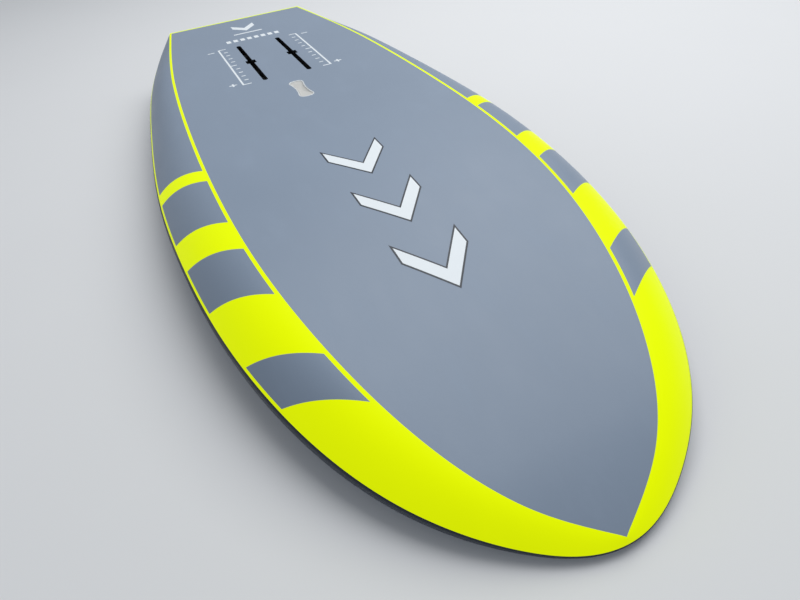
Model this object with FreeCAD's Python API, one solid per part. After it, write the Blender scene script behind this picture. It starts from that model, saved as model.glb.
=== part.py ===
import FreeCAD, Part
import math
import os

from FreeCAD import Vector

# A twin-track foil windsurf board, lying on its deck with the hull up. Millimetres.
# +X runs to the nose, +Y to starboard, +Z out of the hull.
# The origin is on the hull's centreline, midway along the two foil tracks.

# Board
LENGTH = 1520.0
TAIL_X = -369.6
NOSE_X = TAIL_X + LENGTH
RAIL_BULGE = 0.04  # how far the widest line stands outside the rail crease, for each mm of side below it
SKIN = 2.5  # laminate
SANDWICH = 3.0  # foam sheet under the laminate
THICKNESS = 125.0

# Half widths (x, y) of the flat hull panel and of the rail crease below its bevel.
PANEL = [
    (TAIL_X, 165.0),
    (-110.0, 196.0),
    (120.0, 213.5),
    (340.0, 220.8),
    (553.0, 219.6),
    (734.0, 205.8),
    (885.0, 176.0),
    (1006.0, 132.7),
    (1097.0, 70.3),
    (NOSE_X - 6.0, 0.0),
]
RAIL = [
    (TAIL_X, 204.0),
    (-100.0, 256.5),
    (150.0, 285.5),
    (440.0, 302.0),
    (600.0, 296.0),
    (761.0, 277.0),
    (886.0, 246.0),
    (980.0, 207.0),
    (1057.0, 155.5),
    (1115.0, 91.0),
    (NOSE_X - 0.5, 0.0),
]
STATIONS = [0.0, 0.1, 0.22, 0.34, 0.46, 0.57, 0.67, 0.75, 0.82, 0.88, 0.93, 0.965, 0.985, 1.0]
TAIL_OVERRUN = 40.0  # how far the rail sections run on past the tail

# Twin foil tracks
TRACK_SPACING = 90.0
TRACK_SLOT = 254.0
SLOT_WIDTH = 9.6
TRACK_BOX = (276.0, 26.0, 27.0)
TRACK_TOP = -3.7
TRACK_LIP = 8.0
CAVITY_LENGTH = 264.0
CAVITY_WIDTH = 20.0
CAVITY_HEIGHT = 8.5
GROOVE_DEPTH = 7.0
INSERTION = (20.0, 20.0)  # opening at mid slot that lets a nut in
PLATE_HOLES = 165.0  # fore and aft distance between the foil plate's bolts
FOIL_BLOCK = (330.0, 130.0)

# Track nuts
NUT = (18.0, 17.5, 8.0)
NUT_HOLE_R = 4.0
NUT_CLEARANCE = 0.25

# Hull grip
GRIP_X = 215.5
GRIP_LENGTH = 90.0
GRIP_END = 34.0
GRIP_WAIST = 22.0
GRIP_RIM = 2.6
GRIP_DEPTH = 22.0
GRIP_FLOOR = 2.0
GRIP_DISH_R = 300.0
GRIP_CORNER_R = 11.0

# Mast track in the deck
MAST_X = 640.0
MAST_BOX = (200.0, 28.0, 27.0)
MAST_SLOT = 160.0
MAST_BLOCK = (240.0, 78.0, 60.0)
MAST_NUT_X = 40.0  # rest place of the nut, forward of the slot's middle

# Vent in the deck
VENT_X = 470.0
VENT_R = 12.0
VENT_DEPTH = 18.0
VENT_HEAD_R = 8.0
VENT_HEAD = 3.0
VENT_SHANK_R = 4.0
VENT_SHANK = 12.0
VENT_WELL = 5.5
RING_R = 1.0
RUNNING = 0.06

# Leash plug in the deck
LEASH_X = -245.0
LEASH_R = 17.0
LEASH_DEPTH = 26.0
LEASH_WALL = 3.0
LEASH_BAR_R = 2.5

# Footstrap plugs in the deck, (x, y) of each pair
REAR_PLUGS = (-90.0, 75.0)
FRONT_PLUGS = [(210.0, 85.0), (300.0, 165.0)]
PLUG_R = 9.0
PLUG_DEPTH = 24.0
PLUG_HOLE_R = 3.0
PLUG_HOLE_DEPTH = 19.0

# Stringers
STRINGER_Y = 118.0
STRINGER_WIDTH = 6.0
STRINGER_X = (-335.0, 940.0)

# Sandwich sheets, ends along the board
HULL_SHEET_X = (TAIL_X + 12.0, 1060.0)
DECK_SHEET_X = (TAIL_X + 12.0, 960.0)

# Deck pads
PAD = 5.0
PAD_GAP = 12.0
PAD_WIDTH = 0.82  # of the rail's half width
PAD_REAR_X = (-361.0, -24.0)
PAD_SIDE_X = (-12.0, 780.0)
PAD_MAST_GAP = 44.0
KICK_X = (-355.0, -301.0)
KICK_HALF_WIDTH = 130.0
REST_Z = -140.0  # level that the nose and the tail kick both rest on


def rocker(x):
    """Height of the flat hull panel, which bends down to the nose and a little to the tail."""
    nose = max(0.0, x - 324.0) / 1000.0
    tip = max(0.0, x - 1050.0) / 1000.0
    tail = max(0.0, 25.5 - x) / 1000.0
    return -3.2 * nose**2 - 197.5 * nose**3 - 1000.0 * tip**2 - 23.2 * tail**2


def crease_drop(x):
    """How far the rail crease lies below the hull panel."""
    forward = min(1.0, max(0.0, x - 600.0) / 555.0)
    return 50.0 * (1.0 - forward**2.5) ** 0.6


def bevel_share(x, share):
    """Part of the bevel's drop reached at a share of its width. It is rounded, but straight at the tail."""
    aft = min(1.0, max(0.0, x / TAIL_X))
    straight = 0.2 + 0.8 * aft**1.5
    return straight * share + (1.0 - straight) * max(0.0, share) ** 2.3


def seam(x):
    """Height of the rail crease, where the hull and deck laminates meet."""
    x = min(x, RAIL[-1][0])
    return rocker(x) - crease_drop(x)


def deck(x):
    """Height of the deck."""
    nose = max(0.0, x - 600.0) / (NOSE_X - 600.0)
    tail = max(0.0, -50.0 - x) / (-50.0 - TAIL_X)
    return -THICKNESS + (REST_Z + THICKNESS) * nose**2 + 7.0 * tail**2


def box(size, centre, top):
    """Box of a given size, centred in plan, with its upper face at a given height."""
    x, y = centre
    corner = Vector(x - size[0] / 2, y - size[1] / 2, top - size[2])
    return Part.makeBox(size[0], size[1], size[2], corner)


def cylinder(radius, centre, low, high):
    return Part.makeCylinder(radius, high - low, Vector(centre[0], centre[1], low))


def curve_through(points):
    curve = Part.BSplineCurve()
    curve.interpolate(points)
    return curve


def slab(low, high, ends, half_width=340.0, count=32):
    """Solid between two heights, each a function of x, right across the board."""
    step = (ends[1] - ends[0]) / count
    stations = [ends[0] + step * i for i in range(count + 1)]
    upper = [Vector(x, -half_width, high(x)) for x in stations]
    lower = [Vector(x, -half_width, low(x)) for x in stations]
    edges = [
        curve_through(upper).toShape(),
        Part.makeLine(upper[-1], lower[-1]),
        curve_through(lower).toShape(),
        Part.makeLine(lower[0], upper[0]),
    ]
    face = Part.Face(Part.Wire(edges))
    return face.extrude(Vector(0, 2 * half_width, 0))


def half_outline(points, width=1.0):
    """Starboard half of a plan outline, run on past the tail."""
    (x0, y0), (x1, y1) = points[:2]
    before = y0 - TAIL_OVERRUN * 1.1 * (y1 - y0) / (x1 - x0)
    vectors = [Vector(x0 - TAIL_OVERRUN, width * before, 0)]
    vectors += [Vector(x, width * y, 0) for x, y in points]
    return vectors


def plan_prism(points, width, ends):
    """Upright prism of a scaled outline, both sides, cut square at both ends."""
    half = half_outline(points, width)
    starboard = curve_through(half).toShape()
    port = starboard.mirror(Vector(0, 0, 0), Vector(0, 1, 0))
    tail = Part.makeLine(half[0], Vector(half[0].x, -half[0].y, 0))
    face = Part.Face(Part.Wire(Part.__sortEdges__([starboard, port, tail])))
    prism = face.extrude(Vector(0, 0, 300))
    prism.translate(Vector(0, 0, -200))
    window = Part.makeBox(ends[1] - ends[0], 700, 300, Vector(ends[0], -350, -200))
    return prism.common(window)


def rail_profile(panel, crease):
    """Points (out, z) down the rail: bevel, widest line, rounded deck edge."""
    run = (crease - panel).Length
    drop = crease_drop(crease.x)

    def bevel(share):
        x = panel.x + (crease.x - panel.x) * share
        return rocker(x) - drop * bevel_share(crease.x, share)

    points = [(run * share, bevel(share)) for share in (-7.0 / run, 0.0, 0.25, 0.5, 0.75, 1.0)]
    height = seam(crease.x) - deck(crease.x)
    widest_z = seam(crease.x) - 0.12 * height
    across = 12.0 + 0.5 * height
    last = math.radians(72)
    down = 0.88 * height / math.sin(last)
    for turn in (0.0, 0.35, 0.7, 1.0):
        angle = last * turn
        out = run + RAIL_BULGE * height - across * (1 - math.cos(angle))
        points.append((out, widest_z - down * math.sin(angle)))
    end_out, end_z = points[-1]
    slope = down * math.cos(last) / (across * math.sin(last))
    points.append((end_out - 8.0, end_z - 8.0 * slope))
    return points


def inset_profile(points, inset):
    """The same points moved square to the profile, into the board."""
    moved = []
    for i, (out, z) in enumerate(points):
        before = points[max(0, i - 1)]
        after = points[min(len(points) - 1, i + 1)]
        along = Vector(after[0] - before[0], after[1] - before[1], 0).normalize()
        moved.append((out + inset * along.y, z - inset * along.x))
    return moved


def rail_wire(panel, crease, inset, shift=0.0):
    """Closed section of the space outside the rail, in the upright plane through both points."""
    run = (crease - panel).Length
    out = (crease - panel) * (1.0 / run)
    profile = inset_profile(rail_profile(panel, crease), inset)
    start = Vector(panel.x, panel.y - shift, 0)

    def place(distance, z):
        return start + out * distance + Vector(0, 0, z)

    inner = [place(distance, z) for distance, z in profile]
    bottom = place(profile[-1][0], -190.0)
    far_bottom = place(run + 260.0, -190.0)
    far_top = place(run + 260.0, 60.0)
    top = place(profile[0][0], 60.0)
    edges = [curve_through(inner).toShape()]
    corners = [inner[-1], bottom, far_bottom, far_top, top, inner[0]]
    edges += [Part.makeLine(a, b) for a, b in zip(corners, corners[1:])]
    return Part.Wire(edges)


def rail_cutter(inset):
    """Everything outside the starboard rail, from behind the tail to the centreline."""
    panel = curve_through(half_outline(PANEL))
    crease = Part.BSplineCurve()
    tail_way = Vector(0.98, 0.2, 0)
    crease.interpolate(Points=half_outline(RAIL), InitialTangent=tail_way, FinalTangent=Vector(0, -1, 0))
    wires = []
    for t in STATIONS:
        panel_point = panel.value(panel.parameterAtDistance(t * panel.length()))
        crease_point = crease.value(crease.parameterAtDistance(t * crease.length()))
        wires.append(rail_wire(panel_point, crease_point, inset))
    panel_tip = Vector(PANEL[-1][0], 0, 0)
    crease_tip = Vector(RAIL[-1][0], 0, 0)
    wires.append(rail_wire(panel_tip, crease_tip, inset, shift=1.0))
    return Part.makeLoft(wires, True)


def board_body(inset):
    """Whole board, or the room inside a wall of the given thickness."""
    blank = slab(
        lambda x: deck(x) + inset,
        lambda x: rocker(x) - inset,
        (TAIL_X + inset, NOSE_X + 6.0),
    )
    starboard_half = Part.makeBox(2000, 400, 400, Vector(-500, 0, -250))
    cut = blank.common(starboard_half).cut(rail_cutter(inset))
    half = max(cut.Solids, key=lambda solid: solid.Volume)
    return both_sides(half).removeSplitter()


def port_of(shape):
    """Mirror image of a starboard piece."""
    return shape.mirror(Vector(0, 0, 0), Vector(0, 1, 0))


def both_sides(shape):
    return shape.fuse(port_of(shape))


def largest(shape):
    return max(shape.Solids, key=lambda solid: solid.Volume)


def slot_prism(length, width, centre, low, high):
    """Upright slot with rounded ends, along the board."""
    radius = width / 2
    straight = length - width
    corner = Vector(centre[0] - straight / 2, centre[1] - radius, low)
    middle = Part.makeBox(straight, width, high - low, corner)
    ends = [cylinder(radius, (centre[0] + side * straight / 2, centre[1]), low, high) for side in (-1, 1)]
    return middle.fuse(ends).removeSplitter()


def foil_slot(high, width=SLOT_WIDTH):
    """Starboard track's slot with its insertion opening, up to a given height."""
    y = TRACK_SPACING / 2
    low = TRACK_TOP - TRACK_LIP - 1.0
    slot = slot_prism(TRACK_SLOT, width, (0.0, y), low, high)
    opening = box((INSERTION[0], INSERTION[1], high - low), (0.0, y), high)
    return slot.fuse(opening).removeSplitter()


def foil_track():
    """Starboard track box: open slot over a wider cavity for nuts, and a groove for bolt ends."""
    y = TRACK_SPACING / 2
    lip_z = TRACK_TOP - TRACK_LIP
    shell = box(TRACK_BOX, (0.0, y), TRACK_TOP)
    cavity = box((CAVITY_LENGTH, CAVITY_WIDTH, CAVITY_HEIGHT), (0.0, y), lip_z)
    groove = slot_prism(TRACK_SLOT, SLOT_WIDTH, (0.0, y), lip_z - CAVITY_HEIGHT - GROOVE_DEPTH, lip_z)
    return shell.cut([cavity, groove, foil_slot(TRACK_TOP + 1.0)])


def track_nut(x, y):
    """Square nut standing on the cavity's floor, its threaded hole upright."""
    top = TRACK_TOP - TRACK_LIP - NUT_CLEARANCE
    body = box(NUT, (x, y), top)
    edges = [edge for edge in body.Edges if abs(edge.tangentAt(0).z) > 0.9]
    body = body.makeChamfer(1.5, edges)
    return body.cut(cylinder(NUT_HOLE_R, (x, y), top - 20, top + 5))


def hourglass(offset, low, high):
    """Upright prism of the grip's outline, grown or shrunk by an offset."""
    half_length = GRIP_LENGTH / 2 + offset
    half_end = GRIP_END / 2 + offset
    half_waist = GRIP_WAIST / 2 + offset
    corner = half_length - 5.0
    starboard_fore = Vector(corner, half_end, low)
    starboard_aft = Vector(-corner, half_end, low)
    port_fore = Vector(corner, -half_end, low)
    port_aft = Vector(-corner, -half_end, low)
    edges = [
        Part.Arc(starboard_aft, Vector(0, half_waist, low), starboard_fore).toShape(),
        Part.Arc(starboard_fore, Vector(half_length, 0, low), port_fore).toShape(),
        Part.Arc(port_fore, Vector(0, -half_waist, low), port_aft).toShape(),
        Part.Arc(port_aft, Vector(-half_length, 0, low), starboard_aft).toShape(),
    ]
    prism = Part.Face(Part.Wire(edges)).extrude(Vector(0, 0, high - low))
    uprights = [edge for edge in prism.Edges if abs(edge.tangentAt(edge.FirstParameter).z) > 0.9]
    prism = prism.makeFillet(GRIP_CORNER_R + offset, uprights)
    prism.translate(Vector(GRIP_X, 0, 0))
    return prism


def grip_frame():
    """Moulded cup with a rim flush with the hull."""
    cup = hourglass(0.0, -GRIP_DEPTH, 0.0)
    return cup.cut(hourglass(-GRIP_RIM, GRIP_FLOOR - GRIP_DEPTH, 1.0))


def grip_pad():
    """Soft filler of the cup with a shallow dished top."""
    filler = hourglass(-GRIP_RIM, GRIP_FLOOR - GRIP_DEPTH, -0.8)
    dish = Part.makeSphere(GRIP_DISH_R, Vector(GRIP_X, 0, GRIP_DISH_R - 4.0))
    return filler.cut(dish)


def mast_track():
    """Box in the deck for the mast base: slot opening downwards over a nut cavity."""
    bottom = deck(MAST_X)
    shell = box(MAST_BOX, (MAST_X, 0.0), bottom + MAST_BOX[2])
    slot = slot_prism(MAST_SLOT, SLOT_WIDTH, (MAST_X, 0.0), bottom - 1, bottom + TRACK_LIP + 1)
    cavity_top = bottom + TRACK_LIP + CAVITY_HEIGHT
    cavity = box((MAST_SLOT + 10, CAVITY_WIDTH, CAVITY_HEIGHT), (MAST_X, 0.0), cavity_top)
    groove = slot_prism(MAST_SLOT, SLOT_WIDTH, (MAST_X, 0.0), cavity_top - 1, cavity_top + GROOVE_DEPTH)
    opening = box((INSERTION[0], INSERTION[1], TRACK_LIP + 2), (MAST_X, 0.0), bottom + TRACK_LIP + 1)
    return shell.cut([slot, cavity, groove, opening])


def mast_nut():
    """The mast track's nut, standing forward of the insertion opening."""
    top = deck(MAST_X) + TRACK_LIP + NUT_CLEARANCE + NUT[2]
    x = MAST_X + MAST_NUT_X
    body = box(NUT, (x, 0.0), top)
    edges = [edge for edge in body.Edges if abs(edge.tangentAt(0).z) > 0.9]
    body = body.makeChamfer(1.5, edges)
    return body.cut(cylinder(NUT_HOLE_R, (x, 0.0), top - 20, top + 5))


def vent_housing():
    """Flanged bush in the deck with a well for the screw's head and a blind hole."""
    centre = (VENT_X, 0.0)
    bottom = deck(VENT_X)
    bush = cylinder(VENT_R, centre, bottom, bottom + VENT_DEPTH)
    well = cylinder(VENT_HEAD_R + 0.6, centre, bottom - 1, bottom + VENT_WELL)
    hole = cylinder(VENT_SHANK_R + RUNNING, centre, bottom, bottom + VENT_DEPTH - 1.5)
    return bush.cut([well, hole])


def vent_ring():
    """Seal between the screw's head and the floor of the well."""
    height = deck(VENT_X) + VENT_WELL - RING_R
    return Part.makeTorus(VENT_SHANK_R + RING_R + 0.4, RING_R - 0.02, Vector(VENT_X, 0, height))


def vent_screw():
    """Slotted vent screw: domed head in the well, shank with a breathing hole."""
    centre = (VENT_X, 0.0)
    under_head = deck(VENT_X) + VENT_WELL - 2 * RING_R
    head = cylinder(VENT_HEAD_R, centre, under_head - VENT_HEAD, under_head)
    shank = cylinder(VENT_SHANK_R, centre, under_head, under_head + VENT_SHANK)
    slot = box((2 * VENT_HEAD_R + 2, 1.6, 1.5), centre, under_head - VENT_HEAD + 1.5)
    breather = cylinder(1.0, centre, under_head - VENT_HEAD + 1.0, under_head + VENT_SHANK + 1)
    return head.fuse(shank).removeSplitter().cut([slot, breather])


def leash_cup():
    """Round cup in the deck for the leash."""
    centre = (LEASH_X, 0.0)
    bottom = deck(LEASH_X)
    cup = cylinder(LEASH_R, centre, bottom, bottom + LEASH_DEPTH)
    hollow = cylinder(LEASH_R - LEASH_WALL, centre, bottom - 1, bottom + LEASH_DEPTH - LEASH_WALL)
    return cup.cut([hollow, leash_bar()])


def leash_bar():
    """Steel bar across the cup, its ends held in the cup's wall."""
    height = deck(LEASH_X) + 7.0
    reach = LEASH_R - 1.0
    return Part.makeCylinder(LEASH_BAR_R, 2 * reach, Vector(LEASH_X, -reach, height), Vector(0, 1, 0))


def strap_plug(x, y):
    """Plug in the deck with a blind screw hole."""
    bottom = deck(x)
    plug = cylinder(PLUG_R, (x, y), bottom, bottom + PLUG_DEPTH)
    return plug.cut(cylinder(PLUG_HOLE_R, (x, y), bottom - 1, bottom + PLUG_HOLE_DEPTH))


def plug_pair(x, y):
    return [strap_plug(x, -y), strap_plug(x, y)]


def cut_each(shape, tools):
    for tool in tools:
        shape = shape.cut(tool)
    return shape


def foil_slots():
    """Both slots through the hull, a little wider than the tracks' own."""
    slot = foil_slot(20.0, SLOT_WIDTH + 0.4)
    return [slot, port_of(slot)]


def track_rooms():
    room = box(TRACK_BOX, (0.0, TRACK_SPACING / 2), TRACK_TOP)
    return [room, port_of(room)]


def plug_places():
    return [(x, side * y) for x, y in [REAR_PLUGS] + FRONT_PLUGS for side in (-1, 1)]


def deck_rooms():
    """Room for each fitting that is let into the deck, open downwards."""
    mast_size = (MAST_BOX[0], MAST_BOX[1], MAST_BOX[2] + 20)
    rooms = [box(mast_size, (MAST_X, 0.0), deck(MAST_X) + MAST_BOX[2])]
    rooms.append(cylinder(VENT_R, (VENT_X, 0.0), deck(VENT_X) - 20, deck(VENT_X) + VENT_DEPTH))
    rooms.append(cylinder(LEASH_R, (LEASH_X, 0.0), deck(LEASH_X) - 20, deck(LEASH_X) + LEASH_DEPTH))
    for x, y in plug_places():
        rooms.append(cylinder(PLUG_R, (x, y), deck(x) - 20, deck(x) + PLUG_DEPTH))
    return rooms


def block_rooms():
    """Boxes that hold the foil tracks' block and the mast track's block."""
    foil = box((FOIL_BLOCK[0], FOIL_BLOCK[1], 400), (0.0, 0.0), 100)
    mast_size = (MAST_BLOCK[0], MAST_BLOCK[1], MAST_BLOCK[2] + 60)
    mast = box(mast_size, (MAST_X, 0.0), deck(MAST_X) + MAST_BLOCK[2])
    return foil, mast


def stringer_rooms():
    length = STRINGER_X[1] - STRINGER_X[0]
    corner = Vector(STRINGER_X[0], STRINGER_Y - STRINGER_WIDTH / 2, -200)
    starboard = Part.makeBox(length, STRINGER_WIDTH, 300, corner)
    return starboard, port_of(starboard)


def sheet_rooms():
    """Regions above and below the core that the two sandwich sheets take up."""
    below_hull = SKIN + SANDWICH
    hull = slab(lambda x: rocker(x) - below_hull, lambda x: 40.0, HULL_SHEET_X)
    deck_side = slab(lambda x: -190.0, lambda x: deck(x) + SKIN + SANDWICH, DECK_SHEET_X)
    hull = hull.common(plan_prism(PANEL, 0.93, HULL_SHEET_X))
    deck_side = deck_side.common(plan_prism(RAIL, PAD_WIDTH, DECK_SHEET_X))
    return hull, deck_side


def pad_openings():
    """Room left in the pads round the deck's fittings."""
    mast_size = (MAST_BOX[0] + 30, 2 * PAD_MAST_GAP, 60)
    openings = [box(mast_size, (MAST_X, 0.0), deck(MAST_X) + 10)]
    openings.append(cylinder(VENT_R + 4, (VENT_X, 0.0), deck(VENT_X) - 20, deck(VENT_X) + 5))
    openings.append(cylinder(LEASH_R + 5, (LEASH_X, 0.0), deck(LEASH_X) - 20, deck(LEASH_X) + 5))
    for x, y in plug_places():
        openings.append(cylinder(PLUG_R + 2, (x, y), deck(x) - 20, deck(x) + 5))
    return openings


def pad_layer(ends):
    """Sheet of pad thickness whose upper half lies inside the deck, still to be cut back to it."""
    sheet = slab(lambda x: deck(x) - PAD, lambda x: -80.0, ends)
    return sheet.common(plan_prism(RAIL, PAD_WIDTH, ends))


def deck_pads(outer):
    """Rear pad and starboard side pad, with holes for the deck's fittings."""
    gap = box((PAD_SIDE_X[1] - PAD_SIDE_X[0] + 10, PAD_GAP, 300), (sum(PAD_SIDE_X) / 2, 0.0), 50)
    fore_gap = box((2 * (PAD_SIDE_X[1] - MAST_X), 2 * PAD_MAST_GAP, 300), (PAD_SIDE_X[1], 0.0), 50)
    rear = cut_each(pad_layer(PAD_REAR_X).cut(outer), pad_openings())
    sides = cut_each(pad_layer(PAD_SIDE_X).cut(outer), [gap, fore_gap] + pad_openings())
    starboard = max(sides.Solids, key=lambda solid: solid.CenterOfMass.y)
    return largest(rear), starboard


def tail_kick():
    """Wedge on the rear pad that the back foot braces against."""
    profile = [
        Vector(KICK_X[0], -KICK_HALF_WIDTH, deck(KICK_X[0]) - PAD),
        Vector(KICK_X[0], -KICK_HALF_WIDTH, REST_Z),
        Vector(KICK_X[0] + 16.0, -KICK_HALF_WIDTH, REST_Z),
        Vector(KICK_X[1], -KICK_HALF_WIDTH, deck(KICK_X[1]) - PAD - 1.0),
        Vector(KICK_X[1], -KICK_HALF_WIDTH, deck(KICK_X[1]) - PAD),
    ]
    wedge = Part.Face(Part.makePolygon(profile + profile[:1])).extrude(Vector(0, 2 * KICK_HALF_WIDTH, 0))
    return wedge.cut(pad_layer(PAD_REAR_X))


def export(shape, name):
    shape.exportStep(os.path.join("parts", name + ".step"))


def board_skins(outer, inner):
    """Hull laminate and deck laminate, which meet along the rail crease."""
    skin = outer.cut(inner)
    below_seam = slab(lambda x: -190.0, seam, (TAIL_X - 20, NOSE_X + 20))
    hull = cut_each(largest(skin.cut(below_seam)), foil_slots() + [hourglass(0.0, -GRIP_DEPTH, 20.0)])
    deck_side = cut_each(largest(skin.common(below_seam)), deck_rooms())
    export(hull, "hull_shell")
    export(deck_side, "deck_shell")


def board_inside(inner):
    """Core, sandwich sheets, stringers and hard foam blocks, which fill the laminate."""
    foil_room, mast_room = block_rooms()
    hull_room, deck_room = sheet_rooms()
    starboard_room, port_room = stringer_rooms()
    grip_room = hourglass(0.0, -GRIP_DEPTH, 20.0)
    fittings = [grip_room] + deck_rooms()
    blocks = [foil_room, mast_room]

    foil_block = cut_each(foil_room.common(inner), track_rooms() + foil_slots())
    mast_block = cut_each(mast_room.common(inner), deck_rooms()[:1])
    stringer = cut_each(starboard_room.common(inner), [hull_room, deck_room])
    hull_sandwich = cut_each(hull_room.common(inner), [foil_room, grip_room])
    deck_sandwich = cut_each(deck_room.common(inner), blocks + deck_rooms()[1:])
    core = cut_each(inner, blocks + [hull_room, deck_room, starboard_room, port_room] + fittings)

    export(core, "foam_core")
    export(hull_sandwich, "hull_sandwich")
    export(deck_sandwich, "deck_sandwich")
    export(stringer, "stringer_starboard")
    export(port_of(stringer), "stringer_port")
    export(foil_block, "foil_track_block")
    export(mast_block, "mast_track_block")


def foil_fittings():
    track = foil_track()
    export(track, "foil_track_starboard")
    export(port_of(track), "foil_track_port")
    for side, y in (("port", -TRACK_SPACING / 2), ("starboard", TRACK_SPACING / 2)):
        export(track_nut(PLATE_HOLES / 2, y), "front_nut_" + side)
        export(track_nut(-PLATE_HOLES / 2, y), "rear_nut_" + side)
    export(grip_frame(), "hull_grip_frame")
    export(grip_pad(), "hull_grip_pad")


def deck_fittings():
    export(mast_track(), "mast_track")
    export(mast_nut(), "mast_track_nut")
    export(vent_housing(), "vent_housing")
    export(vent_ring(), "vent_o_ring")
    export(vent_screw(), "vent_screw")
    export(leash_cup(), "leash_cup")
    export(leash_bar(), "leash_bar")
    front_plugs = [plug for x, y in FRONT_PLUGS for plug in plug_pair(x, y)]
    export(Part.makeCompound(front_plugs), "front_strap_plugs")
    export(Part.makeCompound(plug_pair(*REAR_PLUGS)), "rear_strap_plugs")


def deck_padding(outer):
    rear, starboard = deck_pads(outer)
    export(rear, "deck_pad_rear")
    export(starboard, "deck_pad_starboard")
    export(port_of(starboard), "deck_pad_port")
    export(tail_kick(), "tail_kick_pad")


os.makedirs("parts", exist_ok=True)
outer_body = board_body(0.0)
inner_body = board_body(SKIN)
board_skins(outer_body, inner_body)
board_inside(inner_body)
foil_fittings()
deck_fittings()
deck_padding(outer_body)
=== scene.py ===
import math

import bmesh
import bpy
import numpy as np
from mathutils import Matrix, Vector


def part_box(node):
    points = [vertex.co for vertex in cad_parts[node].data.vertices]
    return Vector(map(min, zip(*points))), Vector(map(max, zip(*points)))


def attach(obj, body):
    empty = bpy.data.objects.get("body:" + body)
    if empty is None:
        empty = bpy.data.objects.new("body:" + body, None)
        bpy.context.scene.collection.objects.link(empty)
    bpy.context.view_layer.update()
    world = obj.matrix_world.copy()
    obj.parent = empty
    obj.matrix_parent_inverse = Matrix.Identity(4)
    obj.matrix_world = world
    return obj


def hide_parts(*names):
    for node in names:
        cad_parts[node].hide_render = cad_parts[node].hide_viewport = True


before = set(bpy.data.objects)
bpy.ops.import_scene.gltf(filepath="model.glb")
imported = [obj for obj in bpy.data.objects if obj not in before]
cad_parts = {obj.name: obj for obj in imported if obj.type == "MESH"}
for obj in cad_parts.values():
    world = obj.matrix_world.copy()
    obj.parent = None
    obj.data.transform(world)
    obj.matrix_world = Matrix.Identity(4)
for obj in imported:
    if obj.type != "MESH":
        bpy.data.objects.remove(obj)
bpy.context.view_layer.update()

# Metres throughout. +X runs to the nose, +Y to starboard, +Z out of the hull.
deck_low, deck_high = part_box("deck_shell")
TAIL_X = deck_low.x
NOSE_X = deck_high.x
REST_Z = deck_low.z
THICKNESS = 0.125  # from hull to deck, aft of the nose
SKIN = 0.0025
CREASE_DROP = 0.050  # how far the rail crease lies below the hull panel, aft of the nose
SIDE_TOP = 0.12  # share of the side's height between the crease and the widest line
RAIL_BULGE = 0.04  # how far the widest line stands outside the crease, for each metre of side
LAST_RAIL_ANGLE = 72  # degrees turned from the widest line to the deck's edge
TAIL_ROUND = 0.004
PINLINE = 0.0052  # width of the line round the panel
LOWER_PINLINE = 0.0027  # width of the line along the rail crease
TAIL_LINE = 0.0100  # width of the line across the tail

# Half widths (x, y) of the flat hull panel and of the rail crease below its bevel.
PANEL = [
    (TAIL_X, 0.165),
    (-0.110, 0.196),
    (0.120, 0.2135),
    (0.340, 0.2208),
    (0.553, 0.2196),
    (0.734, 0.2058),
    (0.885, 0.176),
    (1.006, 0.1327),
    (1.097, 0.0703),
    (NOSE_X - 0.004, 0.0),
]
RAIL = [
    (TAIL_X, 0.204),
    (-0.100, 0.2565),
    (0.150, 0.2855),
    (0.440, 0.302),
    (0.600, 0.296),
    (0.761, 0.277),
    (0.886, 0.246),
    (0.980, 0.207),
    (1.057, 0.1555),
    (1.115, 0.091),
    (NOSE_X - 0.0005, 0.0),
]

# Where the paint changes along the bevel, at the edge of the hull panel, from the tail forward.
BAND_EDGES = [0.446, 0.482, 0.608, 0.675, 0.773, 0.879, 0.952]
BAND_SWEEP = 0.735  # how far a band edge runs aft for each metre outboard

# Foil tracks and their scales
TRACK_Y = 0.045
TRACK_SLOT = (0.254, 0.0100)
INSERTION = (0.0204, 0.0204)
SCALE_Y = 0.0897
SCALE_LINE = 0.0036
SCALE_PITCH = 0.0254
SIGN_PLACE = (0.116, 0.108)
SIGN_ARM = 0.015
TICKS = (0.0085, 0.0124, 0.0144)  # lengths of a small tick, the middle tick and an end tick
TICK_INSET = 0.0075  # how far inboard of the line the small ticks start
SEALED_HALF_WIDTH = 0.014  # of the black seal in the foam round a track

# White marks
PLATE = 0.0003
PAINT_STEP = 0.00015  # how far one layer of marking stands above the one below
CHEVRON_TIPS = (0.588, 0.720, 0.852)
CHEVRON_Y = -0.009
CHEVRON = (0.092, 0.086, 0.030)  # length, width and stroke
CHEVRON_EDGE = 0.0024
TAIL_CHEVRON_TIP = (-0.240, 0.001)
TAIL_CHEVRON = (0.060, 0.054, 0.026)
TAIL_BAR = (0.0065, 0.068)
TAIL_BAR_X = -0.221
TAIL_BLOCK = (0.018, 0.0100)
TAIL_BLOCK_X = -0.171
TAIL_BLOCK_PITCH = 0.0162
TAIL_BLOCKS = 8

# Hull grip
GRIP_X = 0.2155
GRIP_CORNER = 0.040
GRIP_BOWS = (0.006, 0.005)  # how far its sides bow in and its ends bow out
GRIP_HALF_END = 0.017
GRIP_ROUNDING = 0.0125  # how far from a corner its curve starts
GRIP_RIM = 0.0026
GRIP_DEPTH = 0.020
GRIP_FIT = 0.0001  # between the hull and the rim
GRIP_PLAY = 0.0003  # between the rim and its filling
FOAM_EDGE_Z = -0.0009
FOAM_DISH = 0.0026

# Deck fittings
MAST_BOX = (0.200, 0.028)
MAST_X = 0.640
VENT = (0.470, 0.012)
LEASH = (-0.245, 0.017)
PLUG_R = 0.009
PLUGS = [(x, side * y) for x, y in ((-0.090, 0.075), (0.210, 0.085), (0.300, 0.165)) for side in (-1, 1)]

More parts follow.
